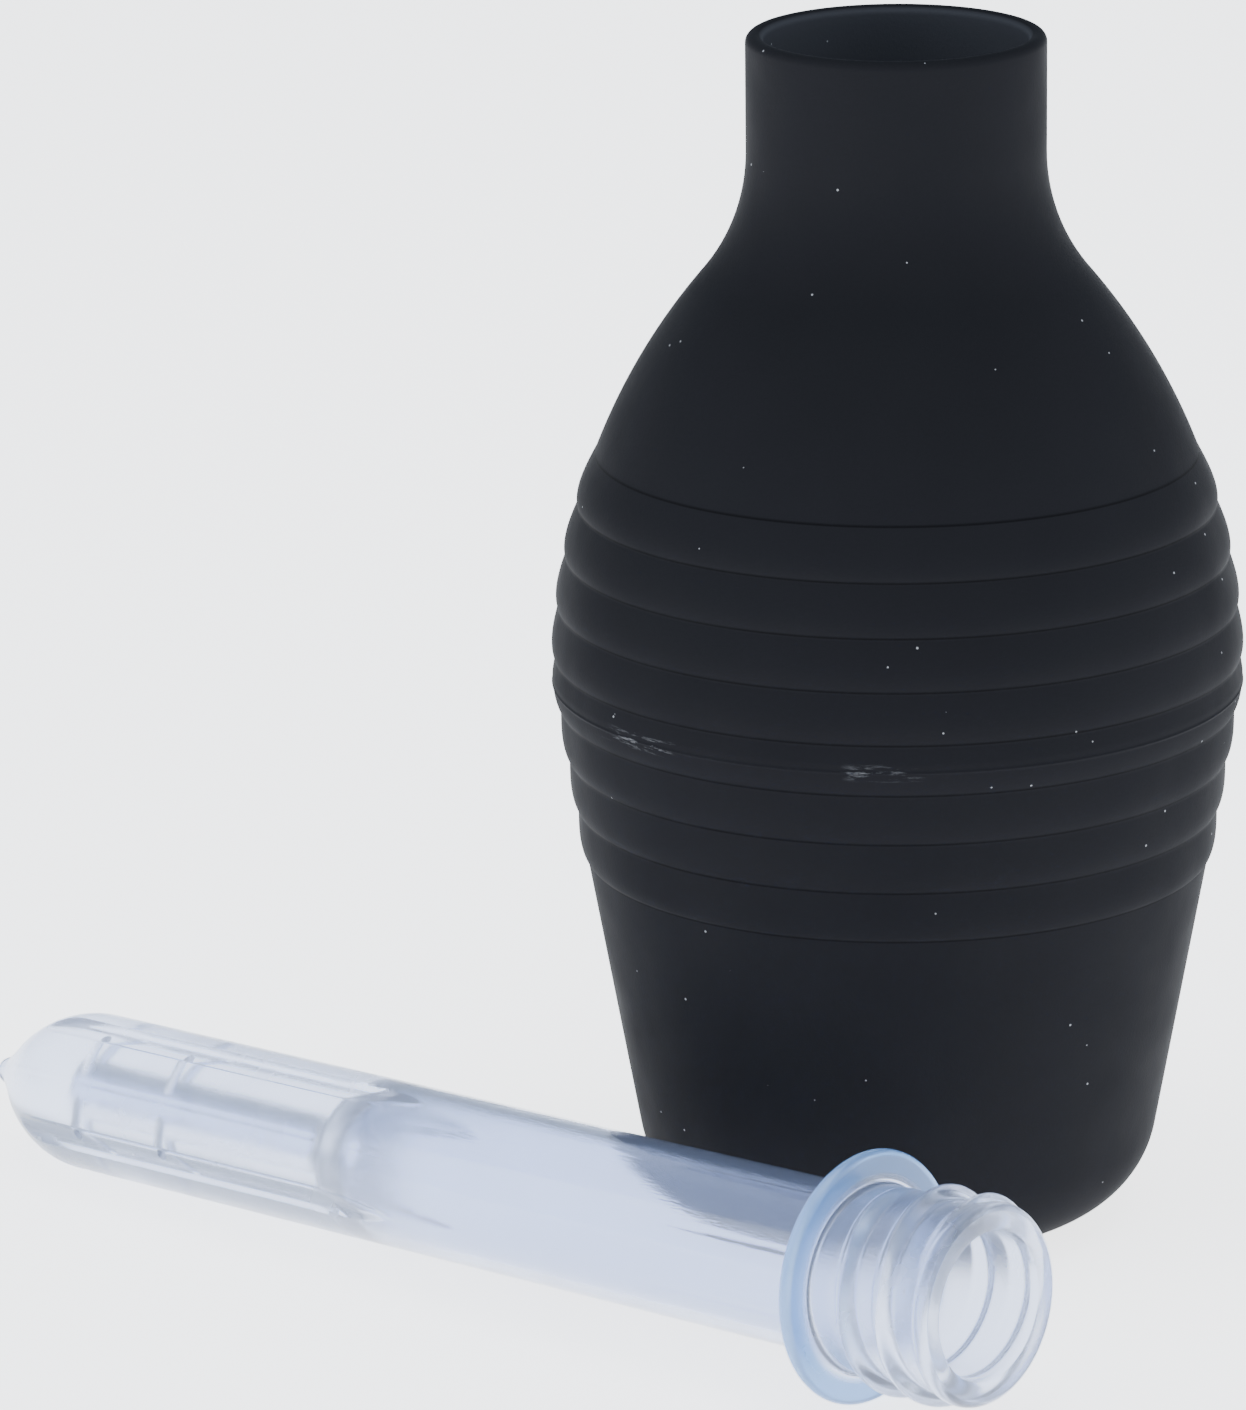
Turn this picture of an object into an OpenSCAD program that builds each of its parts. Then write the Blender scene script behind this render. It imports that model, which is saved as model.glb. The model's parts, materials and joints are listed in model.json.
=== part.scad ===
// Rubber squeeze bulb with a clear screw-in nozzle that lies on the table beside it.
// Millimetres. Origin: centre of the bulb's flat foot. +Z runs up the bulb, +X along the nozzle.

/* [Bulb] */
// Height from the foot to the top of the lip
bulb_h = 133.7; // [128:0.1:140]
// Radius of the body at its widest, in the valley between two bands
belly_r = 37.85; // [36.5:0.05:38.5]
// Height of the widest place, where the two mould halves meet
belly_z = 62; // [60:0.5:64]
// Radius at the top of the foot's rounded corner
foot_r = 28.85; // [28.4:0.05:29.2]
// Rounding of the foot's corner
foot_round = 12; // [8:0.5:13]
// Radius of the arc that forms the dome
dome_round = 69.5; // [66:0.5:72]
// Radius of the hollow arc between dome and neck
throat_round = 21.5; // [18:0.5:24]
// Thickness of the rubber wall
wall = 2.1; // [1.8:0.1:2.6]
// Thickness of the rubber under the cavity
floor_t = 3; // [2.4:0.1:4]

/* [Grip bands] */
// Number of moulded bands round the body
band_count = 8; // [4:1:8]
// Distance from one band to the next
band_pitch = 5.73; // [5.4:0.01:5.9]
// Height of the lowest band's lower edge
band_z = 41.2; // [40:0.1:42]
// How far a band stands out
band_proud = 0.5; // [0.2:0.05:0.7]

/* [Neck] */
// Outer radius of the neck
neck_r = 16.4; // [16:0.1:17]
// Inner radius of the mouth
mouth_r = 14.4; // [14.3:0.05:14.6]
// Depth from the lip down to the neck bush
mouth_depth = 9; // [8:0.5:10]

/* [Neck bush] */
// Length of the bush
bush_len = 16.6; // [16.4:0.1:17]
// Radius of the wall between the thread's grooves
bush_minor_r = 10.9; // [10.8:0.05:11]
// Radius at the bottom of the thread's groove
bush_major_r = 12.1; // [12:0.05:12.2]
// How far a barb bites into the rubber
barb_bite = 0.5; // [0.3:0.05:0.7]

/* [Nozzle] */
// Length from the threaded end to the point
nozzle_len = 148; // [140:0.5:156]
// Radius of the tube beside the flange
tube_r = 9.2; // [9:0.05:9.4]
// Radius of the tube where the nose starts
nose_r = 8.95; // [8.7:0.05:9.1]
// Length of the pointed nose
nose_len = 14.3; // [12:0.1:16]
// Length of the small point on the nose
point_len = 1.5; // [1.2:0.1:2]
// Radius of the small point
point_r = 1.57; // [1.3:0.01:1.8]
// Radius of the flange
flange_r = 13.7; // [13.5:0.05:14]
// Thickness of the flange
flange_t = 1.6; // [1.2:0.1:2]
// Distance from the threaded end to the flange
flange_s = 16.1; // [15.8:0.1:16.3]
// Radius of the wide bore
bore_r = 7.9; // [7.6:0.05:8]
// Distance from the point to the end of the wide bore
bore_stop = 55; // [52:1:60]
// Length of the wide bore's round end
bore_dome = 9.5; // [6:0.5:11]
// Radius of the narrow channel in the nose
channel_r = 1.9; // [1.5:0.1:2.2]

/* [Nozzle thread] */
// Radius of the thread's root
thread_root_r = 10.1; // [9.9:0.05:10.2]
// Radius of the thread's crest
thread_crest_r = 11.6; // [11.4:0.05:11.8]
// Rise of the thread in one turn
thread_pitch = 5; // [4.5:0.1:5.2]
// Number of ridges that the thread shows along one side
ridge_count = 3; // [2:1:3]

/* [Flutes and jets] */
// Number of flutes round the nose
flute_count = 4; // [3:1:4]
// Radius of the round cutter that makes a flute
flute_cut_r = 2; // [1.6:0.1:2.2]
// Depth of a flute
flute_depth = 1.1; // [0.6:0.1:1.2]
// Distance from the point to the far end of the flutes
flute_end = 70; // [66:1:74]
// Length over which a flute rises to nothing
flute_run_out = 15; // [10:1:18]
// Diameter of a jet hole
jet_d = 1.3; // [1:0.1:1.8]
// Distance from the point to the first row of jet holes
jet_first = 20; // [18:0.5:22]
// Distance between the rows of jet holes
jet_step = 13.3; // [12:0.1:15]
// Slant of a jet hole, back towards the flange
jet_slant = 22; // [0:1:30]

/* [Layout] */
// Where the nozzle's threaded end lies, along X
nozzle_x = 55.7; // [50:0.1:60]
// How far the nozzle lies in front of the bulb
nozzle_gap_y = 50.7; // [50:0.1:60]
// Turn of the nozzle about its own length, from a flute straight up
nozzle_roll = 17.4; // [0:0.1:90]

/* [Hidden] */
$fn = 96;
tiny = 0.01;
lip_r = (neck_r - mouth_r) / 2;
band_top = band_z + band_count * band_pitch;
steps_per_band = 8;
ledge_h = 2;
ledge_r = 12.9;
shoulder_h = 5;
bush_top = bulb_h - mouth_depth;
bush_bottom = bush_top - bush_len;
jet_rows = 2;
jet_shift = (nose_r - flute_depth) * tan(jet_slant);
ridge_half = 1.4;
first_ridge_s = 3.8;

// The foot's corner is an arc that meets the lower cone without a kink.
cone_slope = 0.1815;
cone_lean = atan(cone_slope);
foot_arc_r = foot_r - foot_round * cos(cone_lean);
foot_arc_top = foot_round * (1 - sin(cone_lean));
valley_slope = (belly_r - cone_r(band_z)) / (belly_z - band_z);

// The dome's arc and the throat's arc touch each other and end upright at the neck.
dome_arc_r = belly_r - dome_round;
throat_arc_r = neck_r + throat_round;
throat_z = belly_z + sqrt(pow(dome_round + throat_round, 2) - pow(throat_arc_r - dome_arc_r, 2));
dome_top = belly_z + (throat_z - belly_z) * dome_round / (dome_round + throat_round);

function cone_r(z) = foot_r + cone_slope * (z - foot_arc_top);
function foot_corner_r(z) = foot_arc_r + sqrt(max(0, pow(foot_round, 2) - pow(foot_round - z, 2)));
function dome_r(z) = dome_arc_r + sqrt(pow(dome_round, 2) - pow(z - belly_z, 2));
function throat_r(z) = throat_arc_r - sqrt(pow(throat_round, 2) - pow(throat_z - z, 2));

// Outer radius of the plain body, without its bands.
function shell_r(z) =
    z < foot_arc_top ? foot_corner_r(z)
    : z < band_z ? cone_r(z)
    : z < belly_z ? cone_r(band_z) + valley_slope * (z - band_z)
    : z < dome_top ? dome_r(z)
    : z < throat_z ? throat_r(z)
    : neck_r;

// One band: a crisp lower edge, its highest place a third of the way up, then a long fall.
function band_shape(u) = sin(180 * pow(u, 0.63));
function band_points() = [
    for (k = [0 : band_count - 1]) for (i = [0 : steps_per_band - 1])
        let (u = i / steps_per_band, z = band_z + (k + u) * band_pitch)
            [shell_r(z) + band_proud * band_shape(u), z]
];
function arc(cx, cy, r, from, to, n) = [
    for (i = [0 : n]) let (a = from + (to - from) * i / n) [cx + r * cos(a), cy + r * sin(a)]
];
function shell_points(from, to, n, inset) = [
    for (i = [0 : n]) let (z = from + (to - from) * i / n) [shell_r(z) - inset, z]
];

// The nozzle leans until the rim of its flange and the start of its nose both touch the table.
nose_start = nozzle_len - point_len - nose_len;
flange_back = flange_s + flange_t;
rim_r = flange_t / 2;
nozzle_lean = asin((flange_r - nose_r) / (nose_start - flange_s - rim_r));
nozzle_end_z = (flange_r - rim_r) * cos(nozzle_lean) + rim_r + (flange_s + rim_r) * sin(nozzle_lean);

// Share of the tube's radius at share u of the nose's length, from the point to the tube.
function nose_shape(u) = pow(1 - pow(1 - u, 1.93), 0.88);

module bulb_outline() {
    cavity_top = bush_bottom - ledge_h;
    cavity_shoulder = cavity_top - shoulder_h;
    polygon(concat(
        [[0, 0]],
        arc(foot_arc_r, foot_round, foot_round, -90, -cone_lean, 10),
        band_points(),
        shell_points(band_top, dome_top, 8, 0),
        shell_points(dome_top + 1, throat_z, 8, 0),
        arc(neck_r - lip_r, bulb_h - lip_r, lip_r, 0, 180, 8),
        [[mouth_r, bush_bottom], [ledge_r, bush_bottom], [ledge_r, cavity_top]],
        shell_points(cavity_shoulder, belly_z, 10, wall),
        [[foot_r - wall, foot_arc_top]],
        arc(foot_arc_r, foot_round, foot_round - floor_t, -cone_lean, -90, 6),
        [[0, floor_t]]
    ));
}

module bulb() {
    color([0.13, 0.13, 0.15])
    difference() {
        rotate_extrude() bulb_outline();
        bush_blank();
    }
}

// Outside of the bush: a plain barrel with three barbs that hold it in the rubber.
module bush_blank() {
    barb_first = 1.6;
    barb_len = 2.4;
    barb_step = 5;
    translate([0, 0, bush_bottom])
    rotate_extrude()
    polygon(concat(
        [[0, 0], [mouth_r, 0]],
        [for (k = [0 : 2], p = [[0, 0], [barb_bite, 0], [0, barb_len]])
            [mouth_r + p[0], barb_first + p[1] + k * barb_step]],
        [[mouth_r, bush_len], [0, bush_len]]
    ));
}

module neck_bush() {
    lead_in = 1;
    color([0.2, 0.2, 0.22])
    difference() {
        bush_blank();
        translate([0, 0, bush_bottom - tiny]) cylinder(r = bush_minor_r, h = bush_len + 2 * tiny);
        // lead-in for the thread
        translate([0, 0, bush_top - lead_in])
            cylinder(r1 = bush_minor_r, r2 = bush_major_r, h = lead_in + tiny);
    }
}

// Section of one thread ridge, round on top. The ridges are drawn as rings.
function ridge_points(s) = [
    for (a = [-90 : 30 : 90])
        [thread_root_r + (thread_crest_r - thread_root_r) * cos(a), s + ridge_half * sin(a)]
];

module nozzle_profile() {
    end_lip = 1.1;
    end_lip_r = thread_root_r + 0.8;
    end_chamfer = 0.6;
    fillet = 0.6;
    polygon(concat(
        [[bore_r, end_chamfer], [bore_r + end_chamfer, 0]],
        arc(end_lip_r - end_lip, end_lip, end_lip, -90, 60, 6),
        [for (k = [0 : ridge_count - 1]) each ridge_points(first_ridge_s + k * thread_pitch)],
        [[thread_root_r, flange_s - fillet], [thread_root_r + fillet, flange_s]],
        arc(flange_r - rim_r, flange_s + rim_r, rim_r, -90, 90, 6),
        [[tube_r + fillet, flange_back], [tube_r, flange_back + fillet]],
        [for (i = [0 : 11]) let (u = 1 - i / 12)
            [nose_r * nose_shape(u), nozzle_len - point_len - nose_len * u]],
        arc(0, nozzle_len - point_r, point_r, 0, 90, 5),
        [for (a = [90 : -9 : 0])
            [bore_r * cos(a), nozzle_len - bore_stop - bore_dome * (1 - sin(a))]]
    ));
}

// Cuts of one flute: a straight round-bottomed groove that rises to nothing, and its jet holes.
module flute_cuts() {
    clearance = 0.2;
    rise = flute_depth + clearance;
    translate([nose_r - flute_depth + flute_cut_r, 0, nozzle_len - flute_end])
        rotate_extrude($fn = 48)
        polygon(concat(
            [[0, 0]],
            [for (t = [0 : 0.125 : 1]) [flute_cut_r - rise * pow(1 - t, 2), flute_run_out * t]],
            [[flute_cut_r, flute_end + 1], [0, flute_end + 1]]
        ));
    for (k = [0 : jet_rows - 1])
        translate([0, 0, nozzle_len - jet_first + jet_shift - k * jet_step])
            rotate([0, 90 + jet_slant, 0]) cylinder(d = jet_d, h = flange_r, $fn = 24);
}

// The nozzle standing on its threaded end, along +Z.
module nozzle_upright() {
    difference() {
        rotate_extrude() nozzle_profile();
        translate([0, 0, nozzle_len - bore_stop - 1])
            cylinder(r = channel_r, h = bore_stop - jet_first + jet_shift + 2, $fn = 32);
        for (k = [0 : flute_count - 1]) rotate([0, 0, k * 360 / flute_count]) flute_cuts();
    }
}

module nozzle() {
    color([0.72, 0.8, 0.9])
    translate([nozzle_x, -nozzle_gap_y, nozzle_end_z])
        rotate([0, -90 - nozzle_lean, 0])
            rotate([0, 0, -nozzle_roll])
                nozzle_upright();
}

bulb();
neck_bush();
nozzle();
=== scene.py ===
"""Looks of a rubber squeeze bulb and its clear screw-in nozzle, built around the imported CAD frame.

The frame's origin is the centre of the bulb's foot. +Z runs up the bulb, and +X runs along the nozzle from
its nose to its threaded end. Shapes are worked out in millimetres and meshes are made in metres.
"""
import json
import math

import bmesh
import bpy
import numpy as np
from mathutils import Matrix, Vector


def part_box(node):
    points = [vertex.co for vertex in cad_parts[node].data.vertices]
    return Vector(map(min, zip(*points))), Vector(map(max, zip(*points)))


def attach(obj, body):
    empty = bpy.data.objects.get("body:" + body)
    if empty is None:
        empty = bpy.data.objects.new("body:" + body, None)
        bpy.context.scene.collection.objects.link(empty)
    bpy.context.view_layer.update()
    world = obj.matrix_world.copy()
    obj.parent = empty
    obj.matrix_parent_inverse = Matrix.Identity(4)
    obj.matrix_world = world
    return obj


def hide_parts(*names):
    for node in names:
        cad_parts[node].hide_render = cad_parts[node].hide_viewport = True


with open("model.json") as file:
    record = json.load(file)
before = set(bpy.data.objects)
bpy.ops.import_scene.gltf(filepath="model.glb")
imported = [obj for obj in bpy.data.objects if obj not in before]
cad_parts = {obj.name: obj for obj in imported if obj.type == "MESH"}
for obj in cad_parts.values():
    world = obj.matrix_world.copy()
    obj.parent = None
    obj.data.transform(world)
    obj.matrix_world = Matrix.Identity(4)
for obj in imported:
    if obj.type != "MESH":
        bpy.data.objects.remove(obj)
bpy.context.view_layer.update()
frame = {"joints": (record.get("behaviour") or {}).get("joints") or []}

MM = 0.001
SHARP_DEG = 40
MERGE_DIST = 2e-7
DEGENERATE_DIST = 1e-8

# ---- Dimensions of the bulb, in mm, as the CAD source has them ----
BULB_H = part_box("bulb")[1].z / MM
BELLY_R = 37.85
BELLY_Z = 62.0
FOOT_R = 28.85
FOOT_ROUND = 12.0
DOME_ROUND = 69.5
THROAT_ROUND = 21.5
WALL = 2.1
FLOOR_T = 3.0
CONE_SLOPE = 0.1815
BAND_COUNT = 8
BAND_PITCH = 5.73
BAND_Z = 41.2
BAND_PROUD = 0.46
BAND_SKEW = 0.63
NECK_R = 16.4
MOUTH_R = 14.4
BUSH_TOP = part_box("neck_bush")[1].z / MM
BUSH_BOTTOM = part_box("neck_bush")[0].z / MM
BUSH_LEN = BUSH_TOP - BUSH_BOTTOM
BUSH_MINOR_R = 10.9
BUSH_MAJOR_R = 12.1
LEDGE_R = 12.9
LEDGE_H = 2.0
SHOULDER_H = 5.0
BARB_BITE = 0.5
BARB_LEN = 2.4
BARB_FIRST = 1.6
BARB_STEP = 5.0
BARB_COUNT = 3

CONE_LEAN = math.atan(CONE_SLOPE)
FOOT_ARC_R = FOOT_R - FOOT_ROUND * math.cos(CONE_LEAN)
FOOT_ARC_TOP = FOOT_ROUND * (1 - math.sin(CONE_LEAN))
DOME_ARC_R = BELLY_R - DOME_ROUND
THROAT_ARC_R = NECK_R + THROAT_ROUND
THROAT_Z = BELLY_Z + math.sqrt((DOME_ROUND + THROAT_ROUND) ** 2 - (THROAT_ARC_R - DOME_ARC_R) ** 2)
DOME_TOP = BELLY_Z + (THROAT_Z - BELLY_Z) * DOME_ROUND / (DOME_ROUND + THROAT_ROUND)
BAND_TOP = BAND_Z + BAND_COUNT * BAND_PITCH

# ---- Dimensions of the nozzle, in mm, measured from its threaded end ----
NOZZLE_LEN = 148.0
TUBE_R = 9.2
NOSE_R = 8.95
NOSE_LEN = 14.3
POINT_LEN = 1.5
POINT_R = 1.57
POINT_BLEND = 3.0
NOSE_FULLNESS = 1.93
NOSE_TAPER = 0.88
FLANGE_R = 13.68
FLANGE_T = 1.6
FLANGE_S = 16.1
BORE_R = 7.9
BORE_STOP = 55.0
BORE_DOME = 9.5
CHANNEL_R = 1.9
ROOT_R = 10.1
CREST_R = 11.6
THREAD_PITCH = 5.0
FLUTE_COUNT = 4
FLUTE_CUT_R = 2.0
FLUTE_DEPTH = 1.1
FLUTE_END = 70.0
FLUTE_RUN_OUT = 15.0
FLUTE_CLEARANCE = 0.2
FLUTE_RISE = FLUTE_DEPTH + FLUTE_CLEARANCE
JET_D = 1.3
JET_FIRST = 20.0
JET_STEP = 13.3
JET_ROWS = 2
JET_SLANT = math.radians(22)
JET_SHIFT = (NOSE_R - FLUTE_DEPTH) * math.tan(JET_SLANT)
NOZZLE_ROLL = 17.4
NOSE_START = NOZZLE_LEN - POINT_LEN - NOSE_LEN
FLANGE_BACK = FLANGE_S + FLANGE_T


# ---- Meshes ----
def skin(name, rings, close_rows=False):
    """A smooth mesh whose rows are rings of points in metres: an array of rows, segments and 3."""
    rows, segments = rings.shape[:2]
    faces = []
    for i in range(rows if close_rows else rows - 1):
        k = (i + 1) % rows
        for j in range(segments):
            n = (j + 1) % segments
            faces.append((i * segments + j, i * segments + n, k * segments + n, k * segments + j))
    mesh = bpy.data.meshes.new(name)
    mesh.from_pydata(rings.reshape(-1, 3).tolist(), [], faces)
    mesh.update()
    piece = bpy.data.objects.new(name, mesh)
    bpy.context.scene.collection.objects.link(piece)
    return piece


def tidy_mesh(piece, sharp_deg=SHARP_DEG):
    """Merges the points on the axis, turns every face outwards and shades smooth up to an angle."""
    bm = bmesh.new()
    bm.from_mesh(piece.data)
    bmesh.ops.remove_doubles(bm, verts=bm.verts, dist=MERGE_DIST)
    bmesh.ops.dissolve_degenerate(bm, edges=bm.edges, dist=DEGENERATE_DIST)
    bmesh.ops.recalc_face_normals(bm, faces=bm.faces)
    bm.to_mesh(piece.data)
    bm.free()
    piece.data.shade_smooth()
    piece.data.set_sharp_from_angle(angle=math.radians(sharp_deg))


def turned(outline, segments, radius_at=None):
    """Rings of a body turned about Z from (radius, height) pairs in mm; radius_at may reshape a ring."""
    angles = np.linspace(0, 2 * math.pi, segments, endpoint=False)
    rings = np.empty((len(outline), segments, 3))
    for i, (r, z) in enumerate(outline):
        radii = np.full(segments, r) if radius_at is None else radius_at(i, r, z, angles)
        rings[i, :, 0] = radii * np.cos(angles)
        rings[i, :, 1] = radii * np.sin(angles)
        rings[i, :, 2] = z
    return rings * MM


def arc(cr, cz, radius, start, end, steps):
    """Points of an arc, from angle start to angle end in degrees, counted from the outward direction."""
    angles = np.radians(np.linspace(start, end, steps + 1))
    return [(cr + radius * math.cos(a), cz + radius * math.sin(a)) for a in angles]


def steps_between(a, b, step):
    """Values from a to b, both included, about step apart."""
    return np.linspace(a, b, max(1, round(abs(b - a) / step)) + 1)


# ---- The bulb ----
PARTING_Z = 61.2
PARTING_PROUD = 0.1
PARTING_HALF = 0.16
BULB_SEGMENTS = 256
BUSH_SEGMENTS = 128


def cone_r(z):
    return FOOT_R + CONE_SLOPE * (z - FOOT_ARC_TOP)


def shell_r(z):
    """Outer radius of the bulb without its bands."""
    if z < FOOT_ARC_TOP:
        return FOOT_ARC_R + math.sqrt(max(0, FOOT_ROUND ** 2 - (FOOT_ROUND - z) ** 2))
    if z < BAND_Z:
        return cone_r(z)
    if z < BELLY_Z:
        rise = (BELLY_R - cone_r(BAND_Z)) / (BELLY_Z - BAND_Z)
        return cone_r(BAND_Z) + rise * (z - BAND_Z)
    if z < DOME_TOP:
        return DOME_ARC_R + math.sqrt(DOME_ROUND ** 2 - (z - BELLY_Z) ** 2)
    if z < THROAT_Z:
        return THROAT_ARC_R - math.sqrt(THROAT_ROUND ** 2 - (THROAT_Z - z) ** 2)
    return NECK_R


def banded_r(z):
    """Outer radius with the grip bands and the raised line where the two mould halves met."""
    u = (z - BAND_Z) / BAND_PITCH % 1
    band = BAND_PROUD * math.sin(math.pi * u ** BAND_SKEW) if BAND_Z < z < BAND_TOP else 0
    flash = PARTING_PROUD * math.exp(-((z - PARTING_Z) / PARTING_HALF) ** 2)
    return shell_r(z) + band + flash


def barb_points():
    """Outline of the bush's barrel from its foot up, with the barbs that bite into the rubber."""
    points = [(MOUTH_R, BUSH_BOTTOM)]
    for k in range(BARB_COUNT):
        z = BUSH_BOTTOM + BARB_FIRST + k * BARB_STEP
        points += [(MOUTH_R, z), (MOUTH_R + BARB_BITE, z), (MOUTH_R, z + BARB_LEN)]
    return points + [(MOUTH_R, BUSH_TOP)]


def bulb_outline():
    lip = (NECK_R - MOUTH_R) / 2
    cavity_top = BUSH_BOTTOM - LEDGE_H
    shoulder = cavity_top - SHOULDER_H
    outer = [(0, 0), (6, 0), (12, 0)]
    outer += arc(FOOT_ARC_R, FOOT_ROUND, FOOT_ROUND, -90, -math.degrees(CONE_LEAN), 24)
    outer += [(shell_r(z), z) for z in steps_between(FOOT_ARC_TOP + 1, BAND_Z - 0.05, 2.4)]
    heights = set(np.round(steps_between(BAND_Z, BAND_TOP, 0.24), 4))
    heights |= set(np.round(np.linspace(PARTING_Z - 0.4, PARTING_Z + 0.4, 13), 4))
    outer += [(banded_r(z), z) for z in sorted(heights)]
    outer += [(shell_r(z), z) for z in steps_between(BAND_TOP + 0.6, THROAT_Z, 0.9)]
    outer += [(NECK_R, z) for z in steps_between(THROAT_Z + 1, BULB_H - lip - 1, 2)]
    outer += arc(NECK_R - lip, BULB_H - lip, lip, 0, 180, 16)
    inner = [(MOUTH_R, z) for z in steps_between(BULB_H - lip - 1, BUSH_TOP + 0.5, 2)]
    inner += barb_points()[::-1]
    inner += [(LEDGE_R, BUSH_BOTTOM), (LEDGE_R, cavity_top)]
    inner += [(shell_r(z) - WALL, z) for z in steps_between(shoulder, FOOT_ARC_TOP, 3)]
    inner += arc(FOOT_ARC_R, FOOT_ROUND, FOOT_ROUND - FLOOR_T, -math.degrees(CONE_LEAN), -90, 10)
    return outer + inner + [(8, FLOOR_T), (0, FLOOR_T)]


def make_bulb():
    piece = skin("rubber_bulb", turned(bulb_outline(), BULB_SEGMENTS))
    tidy_mesh(piece, 50)
    piece.data.materials.append(black_rubber())
    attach(piece, "bulb_body")
    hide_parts("bulb")


# ---- The threaded bush in the neck ----
def make_neck_bush():
    groove_half = 1.5

    def radius_at(i, r, z, angles):
        if r > BUSH_MINOR_R + 0.01:
            return np.full(len(angles), r)
        along = ((z - BUSH_BOTTOM) / THREAD_PITCH - angles / (2 * math.pi)) % 1
        away = np.minimum(along, 1 - along) * THREAD_PITCH / groove_half
        depth = np.where(away < 1, np.cos(away * math.pi / 2) ** 2, 0)
        return r + (BUSH_MAJOR_R - BUSH_MINOR_R) * depth

    barrel = barb_points()
    bore = [(BUSH_MINOR_R, z) for z in steps_between(BUSH_TOP, BUSH_BOTTOM, 0.4)]
    chamfer = [(BUSH_MAJOR_R + 0.3, BUSH_TOP)]
    rings = turned(barrel + chamfer + bore, BUSH_SEGMENTS, radius_at)
    piece = skin("threaded_bush", rings, close_rows=True)
    tidy_mesh(piece)
    piece.data.materials.append(black_plastic())
    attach(piece, "bulb_body")
    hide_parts("neck_bush")


# ---- The nozzle ----
END_LIP = 1.1
END_LIP_R = ROOT_R + 0.8
END_CHAMFER = 0.6
FILLET = 0.6
THREAD_START = 1.2
THREAD_TURNS = 2.3
THREAD_PHASE = 47.0
THREAD_ORIGIN = 6.4
THREAD_FADE_IN = 0.3
THREAD_FADE_OUT = 0.2
RIDGE_HALF = 1.55
SEAM_PROUD = 0.06
SEAM_ANGLE = -45.0
SEAM_HALF = 0.18
FLUTE_EDGE = 0.1
NO_FLUTE = 99.0
JET_SIDES = 20
NOZZLE_SEGMENTS = 192


def soft_step(x):
    x = np.clip(x, 0, 1)
    return x * x * (3 - 2 * x)


def soft_min(a, b, k):
    h = np.clip(0.5 + 0.5 * (b - a) / k, 0, 1)
    return b * (1 - h) + a * h - k * h * (1 - h)


def thread_height(s, angles):
    """How far the screw ridge stands out of the root at distance s, for each angle."""
    height = np.zeros(len(angles))
    turn = (np.degrees(angles) + THREAD_PHASE) / 360
    base = THREAD_ORIGIN - THREAD_START
    for k in range(-3, 4):
        along = base / THREAD_PITCH + turn + k
        away = (s - THREAD_START - along * THREAD_PITCH) / RIDGE_HALF
        fade = (soft_step(along / THREAD_FADE_IN)
                * soft_step((THREAD_TURNS - along) / THREAD_FADE_OUT))
        ridge = np.where(np.abs(away) < 1, np.cos(away * math.pi / 2) ** 2, 0)
        height = np.maximum(height, ridge * fade)
    return (CREST_R - ROOT_R) * height


def flute_r(s, angles):
    """Radius of the flutes' floor at distance s, and a large number where there is no flute."""
    run = np.clip((s - NOZZLE_LEN + FLUTE_END) / FLUTE_RUN_OUT, 0, 1)
    cut = FLUTE_CUT_R - FLUTE_RISE * (1 - run) ** 2
    centre = NOSE_R - FLUTE_DEPTH + FLUTE_CUT_R
    step = 2 * math.pi / FLUTE_COUNT
    off = (angles + step / 2) % step - step / 2
    side = centre * np.sin(off)
    inside = np.abs(side) < cut
    floor = centre * np.cos(off) - np.sqrt(np.clip(cut ** 2 - side ** 2, 0, None))
    return np.where(inside, floor, NO_FLUTE)


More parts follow.
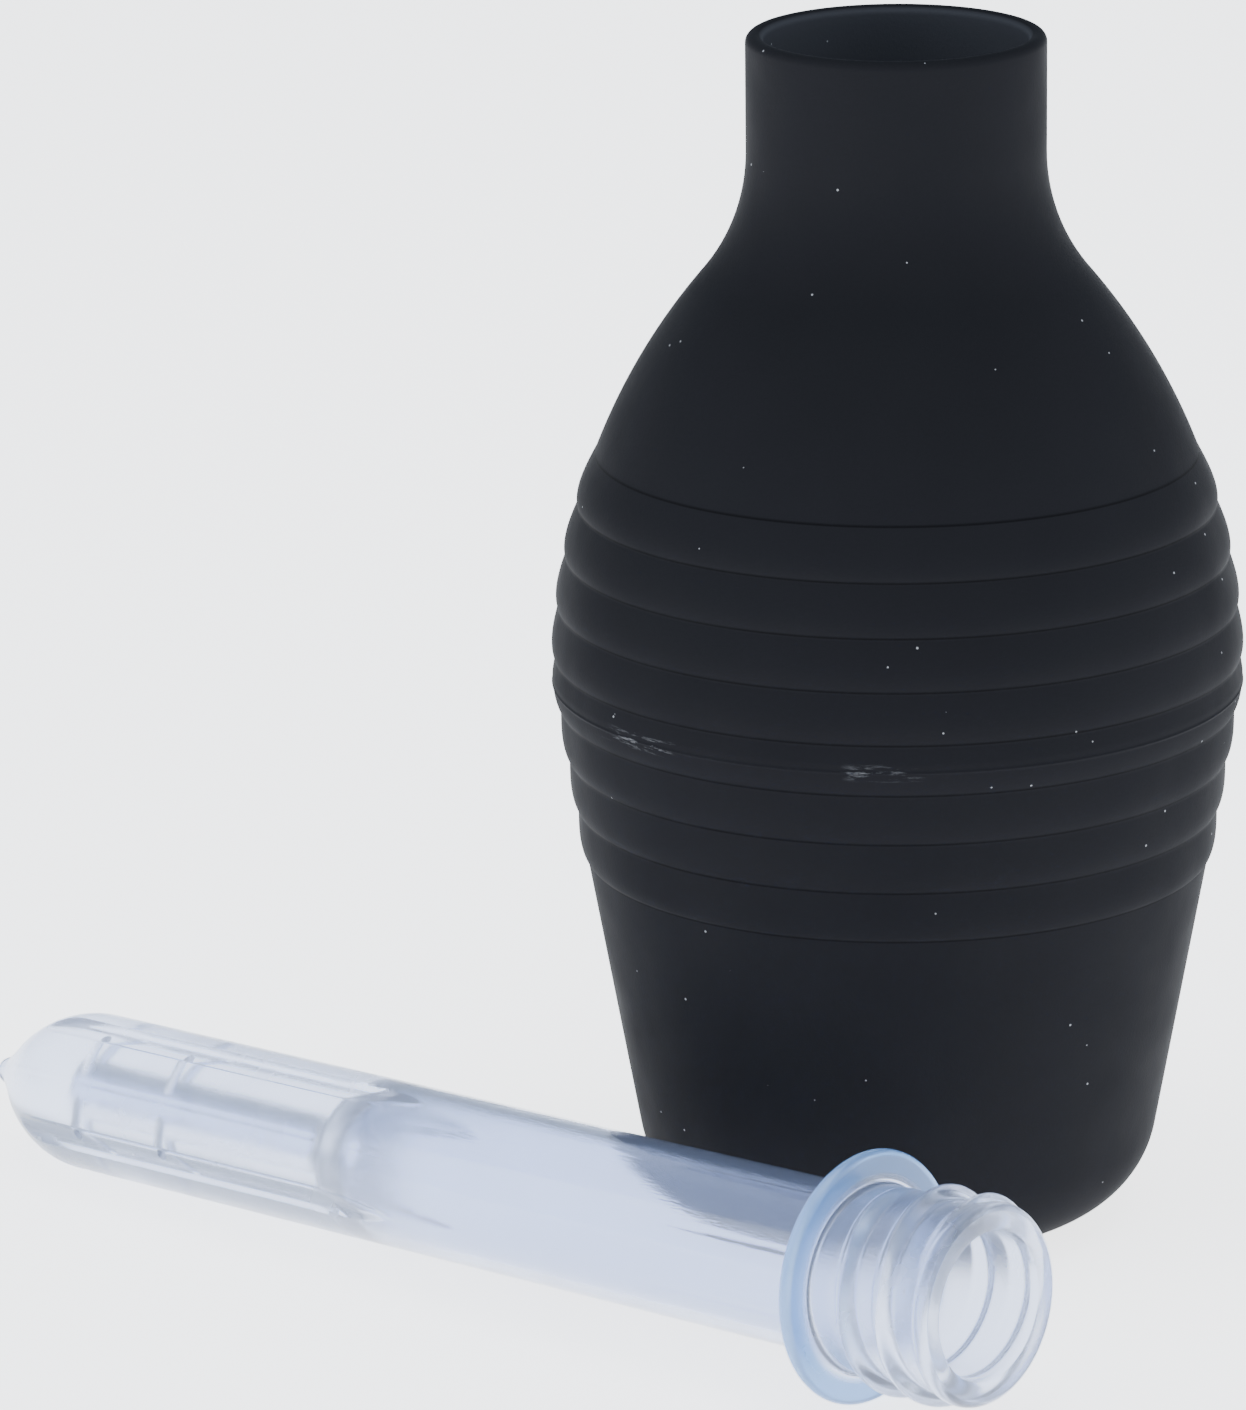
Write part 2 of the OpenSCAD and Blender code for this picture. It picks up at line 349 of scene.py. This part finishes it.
def nozzle_outline():
    """Outside from the threaded end to the point, and inside from the channel's blind end back again."""
    outer = [(BORE_R + END_CHAMFER, 0), (END_LIP_R - END_LIP - 0.4, 0)]
    outer += arc(END_LIP_R - END_LIP, END_LIP, END_LIP, -90, 60, 10)
    outer += [(ROOT_R, s) for s in steps_between(2.2, FLANGE_S - FILLET - 0.2, 0.2)]
    outer += arc(ROOT_R + FILLET, FLANGE_S - FILLET, FILLET, 180, 90, 5)
    outer += arc(FLANGE_R - FLANGE_T / 2, FLANGE_S + FLANGE_T / 2, FLANGE_T / 2, -90, 90, 12)
    outer += arc(TUBE_R + FILLET, FLANGE_BACK + FILLET, FILLET, 270, 180, 5)

    def tube_r(s):
        return TUBE_R + (NOSE_R - TUBE_R) * (s - FLANGE_BACK) / (NOSE_START - FLANGE_BACK)

    flutes_from = NOZZLE_LEN - FLUTE_END - 1
    outer += [(tube_r(s), s) for s in steps_between(FLANGE_BACK + 2, flutes_from, 2.5)]
    outer += [(tube_r(s), s) for s in steps_between(flutes_from + 0.4, NOSE_START - 0.4, 0.5)]
    outer += [(nose_r(s), s) for s in steps_between(NOSE_START, NOZZLE_LEN - 3, 0.4)]
    outer += [(nose_r(s), s) for s in steps_between(NOZZLE_LEN - 2.8, NOZZLE_LEN - 0.5, 0.2)]
    outer += [(nose_r(s), s) for s in (NOZZLE_LEN - 0.3, NOZZLE_LEN - 0.15, NOZZLE_LEN - 0.04, NOZZLE_LEN)]
    dome_end = NOZZLE_LEN - BORE_STOP - BORE_DOME
    channel_end = NOZZLE_LEN - JET_FIRST + JET_SHIFT + 0.4
    inner = [(0, channel_end + CHANNEL_R / 2)]
    inner += [(CHANNEL_R * math.cos(a), channel_end + CHANNEL_R / 2 * math.sin(a))
              for a in np.radians(np.linspace(75, 0, 6))]
    inner += [(CHANNEL_R, s) for s in steps_between(channel_end - 1, NOZZLE_LEN - BORE_STOP, 1.5)]
    inner += [(BORE_R * math.cos(a), dome_end + BORE_DOME * math.sin(a))
              for a in np.radians(np.linspace(74, 0, 22))]
    inner += [(BORE_R, s) for s in steps_between(dome_end - 2, 1.2, 4)]
    inner += [(BORE_R, END_CHAMFER), (BORE_R + 0.3 * END_CHAMFER, 0.3 * END_CHAMFER)]
    return outer, inner


def nose_r(s):
    """Radius of the pointed nose, blended into the small point on it."""
    left = NOZZLE_LEN - s
    u = np.clip((left - POINT_LEN) / NOSE_LEN, 0, 1)
    cone = NOSE_R * (1 - (1 - u) ** NOSE_FULLNESS) ** NOSE_TAPER
    point = math.sqrt(max(0, POINT_R ** 2 - max(0, POINT_R - left) ** 2))
    blend = POINT_BLEND * soft_step(left / POINT_BLEND)
    if blend < 1e-6:
        return point
    near = max(blend - abs(cone - point), 0) / blend
    return max(cone, point) + near * near * blend / 4


def make_nozzle():
    outer, inner = nozzle_outline()
    end_face_rows = 2

    def radius_at(i, r, s, angles):
        radii = np.full(len(angles), float(r))
        if i >= len(outer):
            return radii
        if i >= end_face_rows and s < FLANGE_S - FILLET:
            radii = np.maximum(radii, ROOT_R + thread_height(s, angles))
        if s > FLANGE_BACK + 1:
            radii = soft_min(radii, flute_r(s, angles), FLUTE_EDGE)
            turn = angles - math.radians(SEAM_ANGLE)
            off_seam = np.abs((turn + math.pi / 2) % math.pi - math.pi / 2) * r
            radii = radii + SEAM_PROUD * np.exp(-(off_seam / SEAM_HALF) ** 2)
        return radii

    rings = turned(outer + inner, NOZZLE_SEGMENTS, radius_at)
    piece = skin("clear_nozzle", rings, close_rows=True)
    tidy_mesh(piece)
    cut_jets(piece)
    joint = frame["joints"][0]
    axis = Vector(joint["axis"])
    place = (Matrix.Translation(joint["pos_m"])
             @ Matrix.Rotation(-math.pi / 2 - math.asin(axis.z), 4, "Y")
             @ Matrix.Rotation(-math.radians(NOZZLE_ROLL), 4, "Z"))
    piece.data.transform(place)
    piece.data.materials.append(clear_plastic(place))
    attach(piece, "nozzle_body")
    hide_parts("nozzle")


def cut_jets(piece):
    """Cuts the small slanted jet holes from each flute's floor into the channel."""
    steps = JET_SIDES
    points, faces = [], []
    for k in range(FLUTE_COUNT):
        turn = Matrix.Rotation(k * 2 * math.pi / FLUTE_COUNT, 4, "Z")
        for row in range(JET_ROWS):
            s = NOZZLE_LEN - JET_FIRST + JET_SHIFT - row * JET_STEP
            tilt = Matrix.Translation((0, 0, s * MM)) @ Matrix.Rotation(math.pi / 2 + JET_SLANT, 4, "Y")
            first = len(points)
            for length in (CHANNEL_R * 0.5, NOSE_R + 2):
                for j in range(steps):
                    a = 2 * math.pi * j / steps
                    local = Vector((JET_D / 2 * math.cos(a), JET_D / 2 * math.sin(a), length)) * MM
                    points.append(tuple(turn @ tilt @ local))
            for j in range(steps):
                n = (j + 1) % steps
                faces.append((first + j, first + n, first + steps + n, first + steps + j))
            faces.append(tuple(first + j for j in reversed(range(steps))))
            faces.append(tuple(first + steps + j for j in range(steps)))
    mesh = bpy.data.meshes.new("jet_cutter")
    mesh.from_pydata(points, [], faces)
    cutter = bpy.data.objects.new("jet_cutter", mesh)
    bpy.context.scene.collection.objects.link(cutter)
    cut = piece.modifiers.new("jets", "BOOLEAN")
    cut.operation = "DIFFERENCE"
    cut.solver = "EXACT"
    cut.object = cutter
    bpy.context.view_layer.update()
    result = bpy.data.meshes.new_from_object(piece.evaluated_get(bpy.context.evaluated_depsgraph_get()))
    piece.modifiers.clear()
    piece.data = result
    bpy.data.objects.remove(cutter)
    piece.data.shade_smooth()
    piece.data.set_sharp_from_angle(angle=math.radians(SHARP_DEG))


# ---- Materials ----
class Nodes:
    """A short way to write a node material."""

    def __init__(self, name):
        self.material = bpy.data.materials.new(name)
        self.material.use_nodes = True
        self.tree = self.material.node_tree
        self.shader = self.tree.nodes["Principled BSDF"]
        self.place = self.add("ShaderNodeTexCoord").outputs["Object"]

    def add(self, kind, inputs=None, **settings):
        node = self.tree.nodes.new(kind)
        for key, value in settings.items():
            setattr(node, key, value)
        for key, value in (inputs or {}).items():
            self.set(node.inputs[key], value)
        return node

    def set(self, socket, value):
        if isinstance(value, bpy.types.NodeSocket):
            self.tree.links.new(value, socket)
        else:
            socket.default_value = value

    def noise(self, scale, detail=2.0, roughness=0.5, vector=None):
        return self.add("ShaderNodeTexNoise", {
            "Vector": vector or self.place, "Scale": scale, "Detail": detail, "Roughness": roughness,
        }).outputs["Fac"]

    def stretch(self, scale):
        return self.add("ShaderNodeMapping", {"Vector": self.place, "Scale": scale}).outputs["Vector"]

    def remap(self, value, low, high, to_low, to_high):
        return self.add("ShaderNodeMapRange", {
            "Value": value, "From Min": low, "From Max": high, "To Min": to_low, "To Max": to_high,
        }).outputs["Result"]

    def math(self, operation, a, b=0.0):
        node = self.add("ShaderNodeMath", operation=operation)
        self.set(node.inputs[0], a)
        self.set(node.inputs[1], b)
        return node.outputs[0]

    def across(self, place):
        """Distance from the Z axis, for separated coordinates."""
        return self.math("SQRT", self.math("ADD", self.math("MULTIPLY", place["X"], place["X"]),
                                           self.math("MULTIPLY", place["Y"], place["Y"])))

    def mix(self, factor, a, b):
        node = self.add("ShaderNodeMix", data_type="RGBA")
        self.set(node.inputs["Factor"], factor)
        self.set(node.inputs["A"], a)
        self.set(node.inputs["B"], b)
        return node.outputs["Result"]

    def bump(self, height, distance, strength=1.0, normal=None):
        inputs = {"Height": height, "Distance": distance, "Strength": strength}
        if normal is not None:
            inputs["Normal"] = normal
        return self.add("ShaderNodeBump", inputs).outputs["Normal"]


RUBBER_DARK = (0.0086, 0.0089, 0.0108, 1)
RUBBER_PALE = (0.0118, 0.0121, 0.0144, 1)
# painted shade under the grip bands
RUBBER_PAINTED_SHADE = (0.004, 0.0042, 0.005, 1)
# painted light inside the neck
RUBBER_PAINTED_LIGHT = (0.05, 0.052, 0.06, 1)
RUBBER_MARK = (0.34, 0.35, 0.37, 1)
DUST_SCALE = 380.0
DUST_SIZE = 0.05
DUST_RARITY = 0.6
SCUFF_REACH = 1.1
BUSH_DARK = (0.012, 0.0125, 0.014, 1)
BUSH_PALE = (0.02, 0.021, 0.024, 1)
CLEAR_DEEP = (0.66, 0.745, 0.965, 1)
CLEAR_PALE = (0.73, 0.80, 0.98, 1)
# painted reflection on the flange
FLANGE_PAINTED_REFLECTION = (0.24, 0.45, 0.80, 1)
CLEAR_IOR = 1.49


def black_rubber():
    """Matt black silicone rubber with a fine skin, dust specks and scuffs along the parting line."""
    m = Nodes("black_rubber")
    cloud = m.noise(38, 3)
    colour = m.mix(cloud, RUBBER_DARK, RUBBER_PALE)
    # sparse pale dust
    cells = m.add("ShaderNodeTexVoronoi", {"Vector": m.place, "Scale": DUST_SCALE})
    speck = m.math("LESS_THAN", cells.outputs["Distance"], DUST_SIZE)
    rare = m.math("GREATER_THAN", m.add(
        "ShaderNodeSeparateColor", {"Color": cells.outputs["Color"]}).outputs["Red"], DUST_RARITY)
    dust = m.math("MULTIPLY", speck, rare)
    # scuffs along the parting line
    place = m.add("ShaderNodeSeparateXYZ", {"Vector": m.place}).outputs
    height = place["Z"]
    off_line = m.math("ABSOLUTE", m.math("SUBTRACT", height, PARTING_Z * MM))
    near_line = m.remap(off_line, 0.0, SCUFF_REACH * MM, 1.0, 0.0)
    streaks = m.remap(m.noise(1, 4, 0.7, m.stretch((330, 330, 2600))), 0.55, 0.68, 0.0, 1.0)
    patches = m.remap(m.noise(75, 1), 0.5, 0.62, 0.0, 1.0)
    scuff = m.math("MULTIPLY", m.math("MULTIPLY", near_line, streaks), patches)
    marks = m.math("MAXIMUM", m.math("MULTIPLY", dust, 0.8), m.math("MULTIPLY", scuff, 0.5))
    # painted light: the inside of the neck is painted paler to stand in for light reaching into the mouth
    across = m.across(place)
    inside = m.math("MULTIPLY", m.remap(across, (MOUTH_R + 0.1) * MM, (MOUTH_R + 0.5) * MM, 1.0, 0.0),
                    m.math("GREATER_THAN", height, 0.1))
    colour = m.mix(inside, colour, RUBBER_PAINTED_LIGHT)
    # painted shade: a dark line under each band stands in for the shade beneath its lower edge
    step = m.math("FRACT", m.math("DIVIDE", m.math("SUBTRACT", height, BAND_Z * MM), BAND_PITCH * MM))
    band_painted_shade = m.math("MAXIMUM", m.remap(step, 0.0, 0.045, 1.0, 0.0), m.remap(step, 0.975, 1.0, 0.0, 1.0))
    banded = m.math("MULTIPLY", m.math("GREATER_THAN", height, (BAND_Z - 0.3) * MM),
                    m.math("LESS_THAN", height, (BAND_TOP + 0.5) * MM))
    colour = m.mix(m.math("MULTIPLY", band_painted_shade, banded), colour, RUBBER_PAINTED_SHADE)
    m.set(m.shader.inputs["Base Color"], m.mix(marks, colour, RUBBER_MARK))
    m.set(m.shader.inputs["Roughness"], m.remap(m.noise(90, 3), 0.3, 0.7, 0.56, 0.68))
    m.shader.inputs["Specular IOR Level"].default_value = 0.02
    skin_bump = m.bump(m.noise(2600, 3, 0.6), 0.00004, 0.5)
    m.set(m.shader.inputs["Normal"], m.bump(m.noise(140, 2), 0.00012, 0.5, skin_bump))
    return m.material


def black_plastic():
    """Satin black moulded plastic of the bush."""
    m = Nodes("black_plastic")
    m.set(m.shader.inputs["Base Color"], m.mix(m.noise(220, 3), BUSH_DARK, BUSH_PALE))
    m.set(m.shader.inputs["Roughness"], m.remap(m.noise(300, 2), 0.3, 0.7, 0.3, 0.42))
    m.set(m.shader.inputs["Normal"], m.bump(m.noise(1800, 2), 0.00003, 0.4))
    return m.material


def clear_plastic(nozzle_place):
    """Clear moulded plastic, slightly milky, with flow marks along it and light handling scratches."""
    m = Nodes("clear_plastic")
    # coordinates along the nozzle, from its threaded end
    m.place = m.add("ShaderNodeMapping", {
        "Vector": m.place, "Location": nozzle_place.to_translation(), "Rotation": nozzle_place.to_euler(),
    }, vector_type="TEXTURE").outputs["Vector"]
    place = m.add("ShaderNodeSeparateXYZ", {"Vector": m.place}).outputs
    # painted reflection: the flange is painted bluer and made less clear, standing in for the dark blue
    # reflection seen in its face
    off_flange = m.math("ABSOLUTE", m.math("SUBTRACT", place["Z"], (FLANGE_S + FLANGE_T / 2) * MM))
    across = m.across(place)
    flange = m.math("MULTIPLY", m.remap(off_flange, 0.9 * MM, 1.6 * MM, 1.0, 0.0),
                    m.remap(across, 10.4 * MM, 11.4 * MM, 0.0, 1.0))
    cloud = m.mix(m.noise(60, 3), CLEAR_DEEP, CLEAR_PALE)
    m.set(m.shader.inputs["Base Color"], m.mix(flange, cloud, FLANGE_PAINTED_REFLECTION))
    m.set(m.shader.inputs["Transmission Weight"], m.remap(flange, 0.0, 1.0, 0.93, 0.6))
    m.shader.inputs["IOR"].default_value = CLEAR_IOR
    haze = m.math("MAXIMUM", m.remap(place["Z"], 0.07, 0.09, 0.0, 0.17),
                  m.remap(place["Z"], 0.016, 0.02, 0.16, 0.0))
    m.set(m.shader.inputs["Roughness"],
          m.math("ADD", haze, m.remap(m.noise(120, 3), 0.35, 0.7, 0.05, 0.13)))
    flow = m.bump(m.noise(1, 2, 0.5, m.stretch((110, 110, 22))), 0.00014, 0.35)
    scratches = m.noise(1, 2, 0.6, m.stretch((420, 4200, 420)))
    m.set(m.shader.inputs["Normal"], m.bump(scratches, 0.00002, 0.35, flow))
    return m.material


# ---- Stage, light and camera ----
VIEW_AZIMUTH = math.radians(42.3)
VIEW_PITCH = math.radians(16.14)
VIEW_ROLL = math.radians(-0.63)
VIEW_DISTANCE = 0.9496
VIEW_TARGET = Vector((-0.02247, -0.02045, 0.05814))
LENS = 218.8
FLOOR_HALF = 8.0
FLOOR_DROP = 0.0002
FLOOR_GLOW = 2.7
SENSOR = 36.0
WORLD_COLOUR = (0.74, 0.85, 1.0, 1)
WORLD_STRENGTH = 0.75
OVERHEAD_COLOUR = (0.9, 0.95, 1.0)
SOFTBOX_COLOUR = (0.92, 0.96, 1.0)


def view_dir(azimuth, elevation):
    """Unit vector from the object towards a viewer at that azimuth and elevation, in radians."""
    flat = math.cos(elevation)
    return Vector((math.sin(azimuth) * flat, -math.cos(azimuth) * flat, math.sin(elevation)))


def make_camera():
    camera = bpy.data.objects.new("camera", bpy.data.cameras.new("camera"))
    bpy.context.scene.collection.objects.link(camera)
    camera.data.lens = LENS
    camera.data.sensor_width = SENSOR
    back = view_dir(VIEW_AZIMUTH, VIEW_PITCH)
    facing = back.to_track_quat("Z", "Y").to_matrix().to_4x4()
    camera.matrix_world = (Matrix.Translation(VIEW_TARGET + back * VIEW_DISTANCE) @ facing
                           @ Matrix.Rotation(VIEW_ROLL, 4, "Z"))
    bpy.context.scene.camera = camera


def make_floor():
    mesh = bpy.data.meshes.new("floor")
    h = FLOOR_HALF
    mesh.from_pydata([(x, y, -FLOOR_DROP) for x, y in ((-h, -h), (h, -h), (h, h), (-h, h))],
                     [], [(0, 1, 2, 3)])
    floor = bpy.data.objects.new("floor", mesh)
    bpy.context.scene.collection.objects.link(floor)
    m = Nodes("pale_floor")
    m.shader.inputs["Base Color"].default_value = (0.9, 0.9, 0.9, 1)
    m.shader.inputs["Roughness"].default_value = 0.8
    m.shader.inputs["Emission Color"].default_value = (0.98, 0.985, 1.0, 1)
    m.shader.inputs["Emission Strength"].default_value = FLOOR_GLOW
    floor.data.materials.append(m.material)


def soft_light(name, azimuth_deg, elevation_deg, distance, size, power, colour):
    light = bpy.data.lights.new(name, "AREA")
    light.shape = "RECTANGLE"
    light.size, light.size_y = size
    light.energy = power
    light.color = colour
    lamp = bpy.data.objects.new(name, light)
    bpy.context.scene.collection.objects.link(lamp)
    direction = view_dir(math.radians(azimuth_deg), math.radians(elevation_deg))
    lamp.matrix_world = (Matrix.Translation(direction * distance)
                         @ direction.to_track_quat("Z", "Y").to_matrix().to_4x4())


def make_light():
    world = bpy.data.worlds.new("studio")
    world.use_nodes = True
    background = world.node_tree.nodes["Background"].inputs
    background["Color"].default_value = WORLD_COLOUR
    background["Strength"].default_value = WORLD_STRENGTH
    bpy.context.scene.world = world
    soft_light("overhead", 42, 80, 1.4, (1.2, 1.2), 11, OVERHEAD_COLOUR)
    soft_light("left_softbox", -38, 22, 1.1, (0.5, 1.0), 4, SOFTBOX_COLOUR)
    soft_light("right_softbox", 128, 22, 1.1, (0.5, 1.0), 4, SOFTBOX_COLOUR)


make_camera()
make_light()
make_floor()
make_bulb()
make_neck_bush()
make_nozzle()
